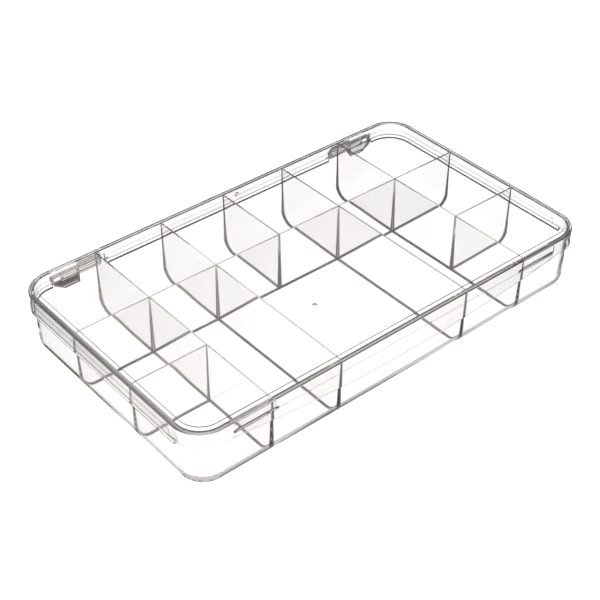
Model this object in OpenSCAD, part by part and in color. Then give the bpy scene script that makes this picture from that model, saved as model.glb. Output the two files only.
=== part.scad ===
// Clear compartment box for fishing tackle.
// A drafted tray with moulded-in dividers carries a lid with a deep skirt. The lid turns on two
// short hinge pins at the back, and its front skirt hangs lower as a thumb flap that snaps over
// two beads on the tray.
// Units are millimetres. +Z is up, +X runs along the hinge and +Y points to the hinge side.
// The origin is the centre of the tray's underside.

/* [Box] */
// Length of the closed box, over the lower edge of the lid's skirt
box_length = 279.4; // [275:0.2:300]
// Depth of the closed box, over the lower edge of the lid's skirt
box_depth = 162.4; // [159:0.2:180]
// Height of the closed box
box_height = 41.4; // [40:0.2:50]
// Plan radius of the lid's outer corners, at the skirt's lower edge
corner_r = 17.8; // [16:0.1:24]
// Draft of every moulded wall, in degrees from vertical
draft = 1; // [0.5:0.1:1.2]

/* [Tray] */
// Thickness of the tray's side walls
wall = 1.4; // [1.3:0.1:1.8]
// Thickness of the tray's floor
floor_t = 1.6; // [1.4:0.1:2.2]
// Radius inside the tray between floor and walls
floor_fillet = 8.5; // [6:0.5:9]
// Gap between the tray's rim and the lid's skirt
fit_gap = 0.45; // [0.4:0.05:0.6]
// Reach of the ledge that the lid's skirt sits over
ledge_reach = 2; // [1.2:0.1:2.1]
// Height of the ledge
ledge_h = 1.9; // [0.8:0.1:2.2]
// Height of the thicker band of wall above the ledge
band_h = 3.8; // [2.5:0.1:4.5]
// Distance of the tray's gate mark from the middle of the floor
gate_x = 5; // [-10:1:10]
// Radius of the gate marks
gate_r = 1.5; // [1:0.1:1.6]

/* [Dividers] */
// Spacing of the dividers along the length
pitch_x = 45; // [42:0.5:46]
// Spacing of the dividers along the depth
pitch_y = 51.5; // [48:0.1:53]
// Thickness of a divider at its top
divider_top = 1; // [0.8:0.1:1.4]
// Thickness of a divider at its foot
divider_foot = 2; // [1.6:0.1:2.6]
// Radius between a divider's foot and the floor
divider_fillet = 0.9; // [0.6:0.1:1.4]
// Radius of the coves where dividers meet each other and the walls
cove_r = 1.1; // [0.8:0.1:1.4]

/* [Lid] */
// Thickness of the lid's top panel
lid_t = 1.3; // [1.2:0.1:1.8]
// Thickness of the lid's skirt
skirt_t = 1.3; // [1.2:0.1:1.5]
// Height of the lid's skirt at the back and sides, from the top of the box
skirt_h = 10.3; // [10:0.1:10.6]
// Radius along the lid's upper outer edge
lid_edge_r = 1.2; // [0.8:0.1:2.4]
// How much the lid's middle panel stands above its border
panel_step = 0.5; // [0.2:0.05:0.5]
// Width of the lower border round the middle panel
panel_inset = 4.5; // [3.5:0.5:8]
// How much lower the thumb flap hangs than the rest of the skirt
flap_drop = 8.8; // [6:0.1:9]
// Width of the thumb flap at the skirt's lower edge
flap_width = 234; // [180:1:238]

/* [Hinge] */
// Diameter of a hinge pin
pin_d = 2.8; // [2.4:0.1:3]
// Length of a hinge pin
pin_length = 27.3; // [24:0.1:28]
// Radial clearance of a pin in the lid's knuckle
pin_clearance = 0.05; // [0.02:0.01:0.1]
// Distance from the box's middle to the joint face between knuckle and lug
hinge_x = 101.3; // [90:0.1:102]
// Width of a lug on the tray
lug_w = 16; // [14:0.5:17]
// Width of a knuckle on the lid
knuckle_w = 15; // [12:0.5:16]

/* [Latch] */
// Distance from the box's middle to the middle of a latch bead
latch_x = 100.4; // [60:0.2:102]
// Length of a latch bead, over its rounded ends
latch_length = 29; // [20:1:34]
// Half height of a latch bead
bead_r = 1.3; // [0.9:0.1:1.4]
// Reach of a latch bead from the tray's wall
bead_reach = 0.6; // [0.4:0.05:0.6]

/* [Hidden] */
$fn = 96;
clear_tint = [0.86, 0.87, 0.87, 0.35];

// Heights and plan
draft_slope = tan(draft);
skirt_z = box_height - skirt_h;              // lower edge of the skirt at the back and sides
flap_z = skirt_z - flap_drop;                // lowest point of the thumb flap
rim_z = box_height - lid_t - 0.2;            // top of the tray's rim, just under the lid's panel
rim_chamfer = 0.3;
ledge_z = skirt_z - 0.15;                    // top of the ledge
bead_z = skirt_z + 1.7;
corner_x = box_length / 2 - corner_r;        // centres of the plan corners
corner_y = box_depth / 2 - corner_r;
lid_inner_edge_r = 0.7;

// Radii from a corner centre to each wall face, at height z
function lid_out(z) = corner_r - (z - skirt_z) * draft_slope;
function lid_in(z) = lid_out(z) - skirt_t;
rim_out = lid_in(rim_z) - fit_gap;
function tray_out(z) = rim_out - (rim_z - z) * draft_slope;
function tray_in(z) = tray_out(z) - wall;

// Dividers
rib_top = rim_z - 0.1;
rib_lean = (divider_foot - divider_top) / 2 / (rib_top - floor_t);
cove_top = rib_top - 0.4;
cove_root = 0.15;                            // how far a cove's section is buried in both faces
cove_sink = 0.22;                            // extra burial at the top, so that coves taper

// Hinge
pin_r = pin_d / 2;
knuckle_r = pin_r + 1.2;
lug_r = pin_r + 2;
lug_gap = 0.15;                              // from the joint face to the lug and to the knuckle
hinge_out = 0.9;                             // pin axis, behind the skirt's lower edge
hinge_y = box_depth / 2 + hinge_out;
hinge_z = skirt_z - 0.2;
notch_z = hinge_z + 4.6;                     // top of the openings in the skirt at the hinge
knuckle_x = hinge_x - lug_gap - knuckle_w;   // inner end of a knuckle
pin_x = knuckle_x - 1.3;                     // free end of a pin

// Gate marks
gate_depth = 0.5;
lid_gate_x = gate_x + 6;
lid_gate_z = box_height - 6.7;

// Children as drawn, and mirrored left to right
module both_x() {
    for (m = [0, 1]) mirror([m, 0, 0]) children();
}

// Children as drawn, and mirrored front to back
module both_y() {
    for (m = [0, 1]) mirror([0, m, 0]) children();
}

// Points on an arc from angle a0 to a1
function arc(centre, radius, a0, a1, steps) =
    [for (i = [0:steps])
        let (a = a0 + (a1 - a0) * i / steps)
        [centre[0] + radius * cos(a), centre[1] + radius * sin(a)]];

// A profile in (radius, height), swept round the rounded rectangle of the box
module ring() {
    both_x() both_y() translate([corner_x, corner_y, 0]) rotate_extrude(angle = 90) children();
    both_x() translate([corner_x, corner_y, 0]) rotate([90, 0, 0])
        linear_extrude(2 * corner_y) children();
    both_y() rotate([0, 0, 90]) translate([corner_y, corner_x, 0]) rotate([90, 0, 0])
        linear_extrude(2 * corner_x) children();
}

// The same sweep, filled across the middle between heights z0 and z1
module slab(z0, z1) {
    ring() children();
    translate([-corner_x, -corner_y, z0]) cube([2 * corner_x, 2 * corner_y, z1 - z0]);
}

// Section of a tray skin: a leaning wall of radius top_r at height z1, with a fillet down to a
// flat bottom at z0. The rim's chamfer widens with flare = 1 and narrows with flare = -1.
module tray_section(z0, z1, top_r, fillet, flare) {
    fillet_z = z0 + fillet;
    fillet_x = top_r - (z1 - fillet_z) * draft_slope - fillet / cos(draft);
    polygon(concat(
        [[0, z0]],
        arc([fillet_x, fillet_z], fillet, -90, -draft, 12),
        [[top_r - rim_chamfer * draft_slope, z1 - rim_chamfer],
         [top_r + flare * rim_chamfer, z1],
         [0, z1]]));
}

// Section of a lid skin: a skirt of radius base_r at height z0, leaning in to a flat top at z1
module lid_section(z0, base_r, z1, fillet) {
    fillet_z = z1 - fillet;
    fillet_x = base_r - (fillet_z - z0) * draft_slope - fillet / cos(draft);
    polygon(concat(
        [[0, z0], [base_r, z0]],
        arc([fillet_x, fillet_z], fillet, draft, 90, 12),
        [[0, z1]]));
}

// Half thickness of a divider at height z
function rib_half(z) = divider_foot / 2 - (z - floor_t) * rib_lean;

// A divider from x0 to x1 along +X: drafted sides on filleted feet, with a chamfered top
module rib(x0, x1) {
    lean_angle = atan(rib_lean);
    fillet_x = divider_foot / 2 - divider_fillet * rib_lean + divider_fillet / cos(lean_angle);
    fillet_z = floor_t + divider_fillet;
    side = concat(
        [[fillet_x, 0]],
        arc([fillet_x, fillet_z], divider_fillet, -90, -180 + lean_angle, 6),
        [[divider_top / 2, rib_top - 0.2], [divider_top / 2 - 0.15, rib_top]]);
    other_side = [for (i = [len(side) - 1:-1:0]) [-side[i][0], side[i][1]]];
    translate([x0, 0, 0]) rotate([90, 0, 90]) linear_extrude(x1 - x0)
        polygon(concat(side, other_side));
}

// Section of the cove in the corner between two faces, which lie along the +X and +Y axes.
// The arc's end chords run on until they are buried in the faces.
function cove(radius) =
    let (points = arc([radius, radius], radius, 190, 260, 4),
         first = points[0],
         chord = points[1] - first,
         end = first[1] - (cove_root + first[0]) * chord[1] / chord[0])
    concat([[-cove_root, -cove_root], [-cove_root, end]], points, [[end, -cove_root]]);

// A section that starts square to the line between two points, and runs along it
module along(start, end) {
    run = end - start;
    translate(start) rotate(a = acos(run[2] / norm(run)), v = [-run[1], run[0], 0])
        linear_extrude(norm(run)) children();
}

// Cove in the +X +Y corner of two dividers that cross at the origin
module crossing_cove() {
    z0 = floor_t - 0.3;
    low = rib_half(z0);
    high = rib_half(cove_top) - cove_sink;
    along([low, low, z0], [high, high, cove_top]) polygon(cove(cove_r));
}

// Coves on both sides of a divider's end, round the floor's fillet and up the wall on the +X
// side, where centre is the distance to the wall's corner centre
module end_coves(centre) {
    fillet_z = floor_t + floor_fillet;
    fillet_x = centre + tray_in(fillet_z) - floor_fillet / cos(draft);
    z0 = fillet_z - 0.8;
    face = rib_half(floor_t + 4);
    both_y() {
        along([centre + tray_in(z0), rib_half(z0), z0],
              [centre + tray_in(cove_top) + cove_sink, rib_half(cove_top) - cove_sink, cove_top])
            mirror([1, 0]) polygon(cove(cove_r));
        translate([fillet_x, 0, fillet_z]) rotate([90, 0, 0]) rotate([0, 0, -90])
            rotate_extrude(angle = 90 - draft)
                polygon([for (p = cove(cove_r - 0.1)) [floor_fillet - p[0], -face - p[1]]]);
    }
}

// All dividers, running out past the tray's walls
module dividers() {
    columns = [-2, -1, 1, 2];
    // one long divider in front of the back row
    translate([0, pitch_y / 2, 0]) rib(-box_length, box_length);
    // full-depth dividers, two on each side of the middle
    for (i = columns)
        translate([i * pitch_x, 0, 0]) rotate([0, 0, 90]) rib(-box_depth, box_depth);
    // the middle divider splits the back row only
    rotate([0, 0, 90]) rib(pitch_y / 2, box_depth);
    // short dividers split the two outer front bays
    translate([0, -pitch_y / 2, 0]) both_x() rib(2 * pitch_x, box_length);
    // coves at the crossings
    for (i = columns)
        translate([i * pitch_x, pitch_y / 2, 0]) both_x() both_y() crossing_cove();
    translate([0, pitch_y / 2, 0]) both_x() crossing_cove();
    both_x() translate([2 * pitch_x, -pitch_y / 2, 0]) both_y() crossing_cove();
    // coves at the walls
    both_x() both_y() translate([0, pitch_y / 2, 0]) end_coves(corner_x);
    for (i = columns)
        both_y() translate([i * pitch_x, 0, 0]) rotate([0, 0, 90]) end_coves(corner_y);
    rotate([0, 0, 90]) end_coves(corner_y);
}

// Cutting block for everything in front of y
module front_block(y) {
    translate([-box_length, y - box_depth, 0]) cube([2 * box_length, box_depth, box_height]);
}

// Cutting block across the back wall, from x towards +X
module back_block(x, width, height) {
    translate([x, corner_y, 0]) cube([width, corner_r + 5, height]);
}

// Conical gate mark that widens towards +Z and has radius gate_r at the surface
module gate_mark(height) {
    flare = 1.4;
    cylinder(h = height, r1 = gate_r - gate_depth * flare,
        r2 = gate_r + (height - gate_depth) * flare);
}

// Lug for the outer end of a hinge pin, with a tapered foot that runs down the tray's wall
module lug() {
    root = corner_y + tray_out(hinge_z) - 0.8 - hinge_y; // buried in the tray's wall
    outer_end = lug_w + lug_gap;
    seat_lead = 1;
    difference() {
        intersection() {
            translate([hinge_x + lug_gap, hinge_y, hinge_z]) rotate([90, 0, 90])
                linear_extrude(lug_w) union() {
                    circle(lug_r);
                    polygon([[root, -6.2], [0.1, -4.7], [lug_r * cos(-35), lug_r * sin(-35)],
                        [0, 0], [0, lug_r], [root, lug_r]]);
                }
            // the outer end tapers towards the bottom
            translate([hinge_x, hinge_y + 10, hinge_z]) rotate([90, 0, 0]) linear_extrude(20)
                polygon([[0, -10], [lug_w * 0.55, -6.6], [outer_end, -2.2],
                    [outer_end, 8], [0, 8]]);
        }
        // blind seat for the pin
        translate([hinge_x - seat_lead, hinge_y, hinge_z]) rotate([0, 90, 0])
            cylinder(h = pin_length - knuckle_w - 0.2, r = pin_r + 0.03);
    }
}

// A latch bead along X that stands out towards +Z, with sloping sides and rounded ends
module bead() {
    crest = 0.15;                            // half width of the crest
    root = 0.3;                              // depth buried in the wall
    foot = bead_r + root * (bead_r - crest) / bead_reach;
    straight = latch_length - 2 * bead_r;
    rotate([90, 0, 90]) linear_extrude(straight, center = true)
        polygon([[-foot, -root], [foot, -root], [crest, bead_reach], [-crest, bead_reach]]);
    both_x() translate([latch_length / 2 - bead_r, 0, 0]) rotate([0, 0, -90])
        rotate_extrude(angle = 180)
            polygon([[0, -root], [foot, -root], [crest, bead_reach], [0, bead_reach]]);
}

// Tray with its dividers, before anything is added outside
module tray_shell() {
    overlap = 0.01;
    difference() {
        slab(0, rim_z) tray_section(0, rim_z, rim_out, floor_fillet + wall, flare = -1);
        difference() {
            slab(floor_t, rim_z + 1) union() {
                tray_section(floor_t, rim_z, rim_out - wall, floor_fillet, flare = 1);
                translate([0, rim_z - overlap])
                    square([rim_out - wall + rim_chamfer - overlap, 1 + overlap]);
            }
            dividers();
        }
    }
}

// Ledge round the back and sides, with a thicker band of wall above it, open at the hinge
module ledge() {
    root = 0.7;                              // depth buried in the wall
    ledge_in = tray_out(skirt_z) - root;
    ledge_out = tray_out(skirt_z) + ledge_reach;
    ledge_base = ledge_z - ledge_h;
    band_in = tray_out(ledge_z) - root;
    band_reach = 0.3;
    band_base = ledge_z - 0.5;
    band_top = ledge_z + band_h;
    difference() {
        union() {
            difference() {
                ring() polygon([[ledge_in, ledge_base - 0.6], [ledge_out, ledge_base],
                    [ledge_out, ledge_z], [ledge_in, ledge_z]]);
                front_block(-corner_y - 1);
            }
            difference() {
                ring() polygon([[band_in, band_base], [tray_out(ledge_z) + band_reach, band_base],
                    [tray_out(band_top) + band_reach, band_top], [band_in, band_top]]);
                front_block(-corner_y + 4);
            }
        }
        both_x() back_block(hinge_x - knuckle_w - 3, lug_w + knuckle_w + 4.5, box_height);
    }
}

module tray() color(clear_tint) {
    front_y = -corner_y - tray_out(bead_z);  // front wall's face at the beads
    difference() {
        union() {
            tray_shell();
            ledge();
            // low rib on the front wall, between the latch beads
            translate([-latch_x, front_y - 0.2, bead_z - 1]) cube([2 * latch_x, 1, 0.8]);
            both_x() {
                lug();
                translate([latch_x, front_y, bead_z]) rotate([90, 0, 0]) bead();
            }
        }
        // sunken gate mark on the inside, near the middle of the floor
        translate([gate_x, 0, floor_t - gate_depth]) gate_mark(0.6);
    }
}

// Region below the skirt's edge, less the arched thumb flap at the front
module skirt_trim() {
    margin = 5;
    arch_r = (pow(flap_width / 2, 2) + pow(flap_drop, 2)) / 2 / flap_drop;
    difference() {
        translate([-box_length, -box_depth, flap_z - margin])
            cube([2 * box_length, 2 * box_depth, flap_drop + margin]);
        intersection() {
            translate([0, 0, flap_z + arch_r]) rotate([90, 0, 0])
                cylinder(h = box_depth, r = arch_r, $fn = 720);
            translate([-box_length, -box_depth, 0])
                cube([2 * box_length, box_depth - corner_y, box_height]);
        }
    }
}

// Lid's panel and skirt, with the openings at the hinge
module lid_shell() {
    outer_base = flap_z - 1;
    inner_base = flap_z - 2;
    border_z = box_height - panel_step;
    panel_base = border_z - 0.2;
    free_end_gap = 2.4;
    difference() {
        union() {
            slab(outer_base, border_z)
                lid_section(outer_base, lid_out(outer_base), border_z, lid_edge_r);
            // raised middle panel
            slab(panel_base, box_height)
                lid_section(panel_base, lid_out(box_height) - panel_inset, box_height, 0.15);
        }
        slab(inner_base, box_height - lid_t)
            lid_section(inner_base, lid_in(inner_base), box_height - lid_t, lid_inner_edge_r);
        skirt_trim();
        // openings in the skirt for the tray's lugs and the free ends of the pins
        both_x() {
            back_block(hinge_x - lug_gap, lug_w + 1.1, notch_z);
            back_block(knuckle_x - free_end_gap, free_end_gap, notch_z);
        }
    }
}

// Knuckle on the lid: a barrel with a web up the back of the skirt
module knuckle() {
    web_in = 0.2 - skirt_t - hinge_out;
    web_h = 6.8;
    translate([knuckle_x, hinge_y, hinge_z]) rotate([90, 0, 90])
        linear_extrude(knuckle_w) union() {
            circle(knuckle_r);
            polygon([[web_in, 0], [knuckle_r, 0], [knuckle_r, 1],
                [-hinge_out - 0.2, web_h], [web_in, web_h]]);
        }
}

module lid() color(clear_tint) {
    bore_lead = 5;
    pocket_base = bead_z + 1;
    pocket_top = box_height - lid_t - lid_inner_edge_r - 0.2;
    difference() {
        union() {
            lid_shell();
            both_x() knuckle();
        }
        // sunken gate mark in the back of the skirt
        translate([lid_gate_x, corner_y + lid_out(lid_gate_z) - gate_depth, lid_gate_z])
            rotate([-90, 0, 0]) gate_mark(1);
        both_x() {
            // bore for the pin
            translate([hinge_x - knuckle_w - bore_lead, hinge_y, hinge_z]) rotate([0, 90, 0])
                cylinder(h = knuckle_w + 2 * bore_lead, r = pin_r + pin_clearance);
            // pocket inside the front skirt, above the latch bead
            translate([latch_x - latch_length / 2 + 3, -corner_y - lid_in(bead_z) - 0.4,
                    pocket_base])
                cube([latch_length - 4, 2, pocket_top - pocket_base]);
        }
    }
}

// The +X hinge pin, with round ends
module pin() {
    translate([pin_x, hinge_y, hinge_z]) rotate([0, 90, 0]) rotate_extrude()
        polygon(concat(
            [[0, 0]],
            arc([0, pin_r], pin_r, -90, 0, 8),
            arc([0, pin_length - pin_r], pin_r, 0, 90, 8)));
}

module hinge_pin_left() color(clear_tint) mirror([1, 0, 0]) pin();
module hinge_pin_right() color(clear_tint) pin();

tray();
lid();
hinge_pin_left();
hinge_pin_right();
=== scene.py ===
"""A clear styrene box: a tray, a lid and two hinge pins.

Metres, +Z up. The box lies near the origin on a glowing floor just below z = 0.
The camera looks down on it from the -X, -Y side.
"""

import math

import bpy
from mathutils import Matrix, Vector

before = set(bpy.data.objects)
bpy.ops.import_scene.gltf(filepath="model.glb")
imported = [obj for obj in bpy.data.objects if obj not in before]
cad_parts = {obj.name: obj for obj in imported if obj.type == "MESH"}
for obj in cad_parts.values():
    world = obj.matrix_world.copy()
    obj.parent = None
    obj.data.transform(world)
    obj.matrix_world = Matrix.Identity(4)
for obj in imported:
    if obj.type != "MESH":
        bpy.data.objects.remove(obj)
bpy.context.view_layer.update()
scene = bpy.context.scene


# ---------------------------------------------------------------- node helpers
def new_tree(name):
    """Make a material with an empty node tree; return both."""
    material = bpy.data.materials.new(name)
    material.use_nodes = True
    material.node_tree.nodes.clear()
    return material, material.node_tree


def add_node(tree, kind, inputs=None, **settings):
    """Add a node. Each input is given a value, or a socket to link from."""
    node = tree.nodes.new(kind)
    for key, value in settings.items():
        setattr(node, key, value)
    for key, value in (inputs or {}).items():
        if isinstance(value, bpy.types.NodeSocket):
            tree.links.new(value, node.inputs[key])
        else:
            node.inputs[key].default_value = value
    return node


def map_range(tree, value, source, result, interpolation="SMOOTHSTEP"):
    """Carry value from the (min, max) pair source to the pair result."""
    inputs = {
        "Value": value,
        "From Min": source[0],
        "From Max": source[1],
        "To Min": result[0],
        "To Max": result[1],
    }
    node = add_node(tree, "ShaderNodeMapRange", inputs, interpolation_type=interpolation)
    return node.outputs["Result"]


def color_ramp(tree, factor, stops):
    """Blend between two stops, each a position and an RGB colour."""
    node = add_node(tree, "ShaderNodeValToRGB", {"Fac": factor})
    for element, (position, color) in zip(node.color_ramp.elements, stops):
        element.position = position
        element.color = (*color, 1)
    return node.outputs["Color"]


def noise(tree, vector, **values):
    inputs = {"Vector": vector}
    inputs.update({key.title(): value for key, value in values.items()})
    return add_node(tree, "ShaderNodeTexNoise", inputs).outputs["Fac"]


def math_node(tree, operation, *values):
    inputs = dict(enumerate(values))
    return add_node(tree, "ShaderNodeMath", inputs, operation=operation).outputs["Value"]


def vector_math(tree, operation, *vectors, output="Value"):
    inputs = dict(enumerate(vectors))
    node = add_node(tree, "ShaderNodeVectorMath", inputs, operation=operation)
    return node.outputs[output]


# ---------------------------------------------------------------- clear styrene
STYRENE_IOR = 1.59
DEPTH_TINT = (0.80, 0.765, 0.74)  # slight warmth that builds up with thickness
DEPTH_DENSITY = 26.0
PIN_FLOW = (60, 200, 200)

# piece: (material name, seed that shifts the flow marks, flow mark scale in x, y, z)
PLASTICS = {
    "tray": ("clear_tray", 1.0, (24, 40, 40)),
    "lid": ("clear_lid", 2.0, (20, 34, 40)),
    "hinge_pin_left": ("clear_pin_left", 3.0, PIN_FLOW),
    "hinge_pin_right": ("clear_pin_right", 4.0, PIN_FLOW),
}


def clear_plastic(name, seed, flow_scale):
    """Polished clear styrene with broad flow marks and a fine haze."""
    material, tree = new_tree(name)
    position = add_node(tree, "ShaderNodeTexCoord").outputs["Object"]
    # the flow marks are drawn out along X
    flow_position = add_node(tree, "ShaderNodeMapping", {
        "Vector": position,
        "Scale": flow_scale,
        "Location": (seed * 0.37, seed * 0.11, seed * 0.73),
    }).outputs["Vector"]
    flow = noise(tree, flow_position, scale=1.0, detail=2.0)
    haze = noise(tree, position, scale=260.0, detail=6.0, roughness=0.7)

    # nearly white, drifting a little with the flow
    color = color_ramp(tree, flow, [(0.3, (0.985, 0.983, 0.98)), (0.7, (0.998, 0.998, 0.996))])
    roughness = map_range(tree, haze, source=(0.45, 0.8), result=(0.0, 0.03),
                          interpolation="LINEAR")
    # only the flow marks are raised
    bump = add_node(tree, "ShaderNodeBump", {
        "Strength": 0.015,
        "Distance": 0.001,
        "Height": flow,
    })
    surface = add_node(tree, "ShaderNodeBsdfPrincipled", {
        "IOR": STYRENE_IOR,
        "Transmission Weight": 1.0,
        "Base Color": color,
        "Roughness": roughness,
        "Normal": bump.outputs["Normal"],
    })
    volume = add_node(tree, "ShaderNodeVolumeAbsorption", {
        "Color": (*DEPTH_TINT, 1),
        "Density": DEPTH_DENSITY,
    })
    add_node(tree, "ShaderNodeOutputMaterial", {
        "Surface": surface.outputs["BSDF"],
        "Volume": volume.outputs["Volume"],
    })
    return material


def dress(piece, material):
    """Give a piece its plastic, smooth faces and crisp edges."""
    piece.data.materials.clear()
    piece.data.materials.append(material)
    piece.data.shade_smooth()
    weld = piece.modifiers.new("weld", "WELD")
    weld.merge_threshold = 0.000002
    edges = piece.modifiers.new("edges", "EDGE_SPLIT")
    edges.split_angle = math.radians(24)
    normals = piece.modifiers.new("normals", "WEIGHTED_NORMAL")
    normals.mode = "FACE_AREA"
    normals.weight = 80
    normals.keep_sharp = True


plastics = {piece: clear_plastic(*values) for piece, values in PLASTICS.items()}
for piece_name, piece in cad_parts.items():
    dress(piece, plastics[piece_name])


# ---------------------------------------------------------------- camera
def add_camera(target, azimuth, elevation, distance):
    """Aim at target; azimuth is measured from -Y towards +X."""
    data = bpy.data.cameras.new("camera")
    camera = bpy.data.objects.new("camera", data)
    scene.collection.objects.link(camera)
    data.sensor_width = 36.0
    data.lens = 82.11
    data.clip_start = 0.01
    away = Vector((
        math.sin(azimuth) * math.cos(elevation),
        -math.cos(azimuth) * math.cos(elevation),
        math.sin(elevation),
    ))
    camera.location = target + away * distance
    camera.rotation_euler = (-away).to_track_quat("-Z", "Y").to_euler()
    scene.camera = camera


add_camera(
    target=Vector((-0.00797, -0.0022, 0.01368)),
    azimuth=math.radians(-39.91),
    elevation=math.radians(38.2),
    distance=0.7755,
)

# ---------------------------------------------------------------- glowing sweep
TO_CAMERA = (-0.64, -0.77, 0)    # level direction from the box towards the camera
TO_RIGHT = (0.77, -0.64, 0)      # level direction towards the camera's right

SWEEP_RADIUS = 2.2
BEND_RADIUS = 0.8
BEND_STEPS = 12
WALL_TOP = 2.6
FLOOR_DROP = 0.0004              # the sweep's floor lies this far below z = 0
SEGMENTS = 96


def bending(tree, incoming):
    """0 where a ray keeps to its line of sight, rising to 1 where it is bent far off it."""
    arriving = add_node(
        tree, "ShaderNodeVectorTransform", {"Vector": incoming},
        vector_type="VECTOR", convert_from="WORLD", convert_to="CAMERA",
    ).outputs["Vector"]
    from_camera = add_node(tree, "ShaderNodeTexCoord").outputs["Camera"]
    sight = vector_math(tree, "NORMALIZE", from_camera, output="Vector")
    cosine = math_node(tree, "MULTIPLY", vector_math(tree, "DOT_PRODUCT", sight, arriving), -1.0)
    angle = math_node(tree, "ARCCOSINE", cosine)
    return map_range(tree, angle, (math.radians(6), math.radians(20)), (0.0, 1.0))


def sweep_material():
    """Brightest along the line of sight, so flat clear walls stay white and bent rays turn grey."""
    material, tree = new_tree("sweep")
    geometry = add_node(tree, "ShaderNodeNewGeometry")
    position = geometry.outputs["Position"]

    def along(axis):
        return vector_math(tree, "DOT_PRODUCT", position, axis)

    bent = bending(tree, geometry.outputs["Incoming"])

    # bent rays find a pale table near the box and in front of it, and a dim room elsewhere
    near = map_range(tree, vector_math(tree, "LENGTH", position), (0.12, 0.42), (0.6, 0.0))
    front = map_range(tree, along(TO_CAMERA), (-0.2, 0.02), (0.03, 1.0))
    sideways = math_node(tree, "ABSOLUTE", along(TO_RIGHT))
    across = map_range(tree, sideways, (0.12, 0.2), (1.0, 0.25))
    dim = math_node(tree, "MULTIPLY", math_node(tree, "MULTIPLY", near, front), across)
    # straight rays find a glow that is a little brighter to the right
    bright = map_range(tree, along(TO_RIGHT), (-0.06, 0.05), (1.37, 1.47))
    strength = map_range(tree, bent, (0.0, 1.0), (bright, dim), interpolation="LINEAR")

    # the room is warm: pinkish in places, straw-coloured in others
    patches = noise(tree, position, scale=7.0, detail=1.0)
    warm = color_ramp(tree, patches, [(0.4, (1.0, 0.925, 0.935)), (0.6, (1.0, 0.962, 0.915))])
    # inputs 6 and 7 and output 2 are the colour sockets
    tone = add_node(tree, "ShaderNodeMix", {
        "Factor": bent,
        6: (1.0, 1.0, 1.0, 1),
        7: warm,
    }, data_type="RGBA").outputs[2]
    glow = add_node(tree, "ShaderNodeEmission", {"Color": tone, "Strength": strength})
    add_node(tree, "ShaderNodeOutputMaterial", {"Surface": glow.outputs["Emission"]})
    return material


def add_sweep():
    """A round floor that bends up into a wall, as rings about a centre point."""
    flat_radius = SWEEP_RADIUS - BEND_RADIUS
    rings = [(flat_radius, 0.0)]
    for step in range(1, BEND_STEPS + 1):
        angle = step * math.pi / (2 * BEND_STEPS)
        rings.append((flat_radius + BEND_RADIUS * math.sin(angle),
                      BEND_RADIUS - BEND_RADIUS * math.cos(angle)))
    rings.append((SWEEP_RADIUS, WALL_TOP))

    vertices = [(0, 0, -FLOOR_DROP)]
    for radius, z in rings:
        for i in range(SEGMENTS):
            turn = 2 * math.pi * i / SEGMENTS
            vertices.append((radius * math.cos(turn), radius * math.sin(turn), z - FLOOR_DROP))
    faces = []
    for i in range(SEGMENTS):
        after = (i + 1) % SEGMENTS
        faces.append((0, 1 + i, 1 + after))
        for k in range(len(rings) - 1):
            a, b = 1 + k * SEGMENTS + i, 1 + k * SEGMENTS + after
            faces.append((a, a + SEGMENTS, b + SEGMENTS, b))

    mesh = bpy.data.meshes.new("floor")
    mesh.from_pydata(vertices, [], faces)
    mesh.materials.append(sweep_material())
    floor = bpy.data.objects.new("floor", mesh)
    scene.collection.objects.link(floor)


add_sweep()


# ---------------------------------------------------------------- world and light
def add_world(strength):
    world = bpy.data.worlds.new("world")
    scene.world = world
    world.use_nodes = True
    background = world.node_tree.nodes["Background"]
    background.inputs["Color"].default_value = (1.0, 1.0, 1.0, 1)
    background.inputs["Strength"].default_value = strength


def add_key(height, side, power):
    """A square light straight above the origin, facing down."""
    data = bpy.data.lights.new("key", "AREA")
    data.shape = "RECTANGLE"
    data.size = data.size_y = side
    data.energy = power
    key = bpy.data.objects.new("key", data)
    scene.collection.objects.link(key)
    key.location = (0.0, 0.0, height)
    key.rotation_euler = Vector((0, 0, -height)).to_track_quat("-Z", "Y").to_euler()


add_world(strength=0.02)
add_key(height=1.6, side=0.5, power=1)

# ---------------------------------------------------------------- render
scene.view_settings.view_transform = "Standard"
cycles = scene.cycles
# many bounces, for light passing through layer after layer of clear wall
cycles.max_bounces = 40
cycles.transmission_bounces = 40
cycles.glossy_bounces = 24
cycles.diffuse_bounces = 2
cycles.transparent_max_bounces = 16
cycles.volume_bounces = 0
cycles.use_denoising = True
cycles.sample_clamp_indirect = 4.0
cycles.caustics_refractive = True
cycles.caustics_reflective = True
